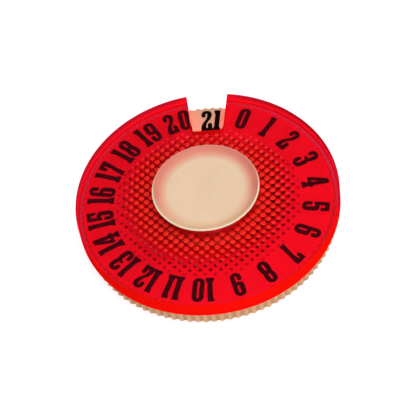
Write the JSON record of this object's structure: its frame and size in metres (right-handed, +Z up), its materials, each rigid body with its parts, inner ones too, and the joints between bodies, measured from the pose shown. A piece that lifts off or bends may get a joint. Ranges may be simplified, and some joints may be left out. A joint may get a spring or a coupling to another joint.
{
  "type": "dial life counter",
  "caption": "Round dial counter: a windowed clear disc turns on a serrated number wheel, held by a dished hub cap.",
  "frame": {"origin": "on the axis that the cover turns about, at the flat underside that the wheel lies on", "axes": "+Z up along the turning axis, +Y towards the cover's window at rest, +X to the right of the window seen from above"},
  "size_m": [0.057, 0.0566, 0.0106],
  "materials": {
    "wheel_styrene": "moulded cream polystyrene, satin, printed in black",
    "cap_styrene": "moulded cream polystyrene, satin",
    "cover_styrene": "moulded clear red polystyrene, glossy"
  },
  "bodies": {
    "wheel": {"number_wheel": "wheel_styrene", "hub_cap": "cap_styrene"},
    "cover": {"window_cover": "cover_styrene"}
  },
  "joints": [
    {"name": "cover_turn", "type": "hinge", "parent": "wheel", "child": "cover", "pos_m": [0, 0, 0.0064], "axis": [0, 0, 1], "continuous": true}
  ]
}
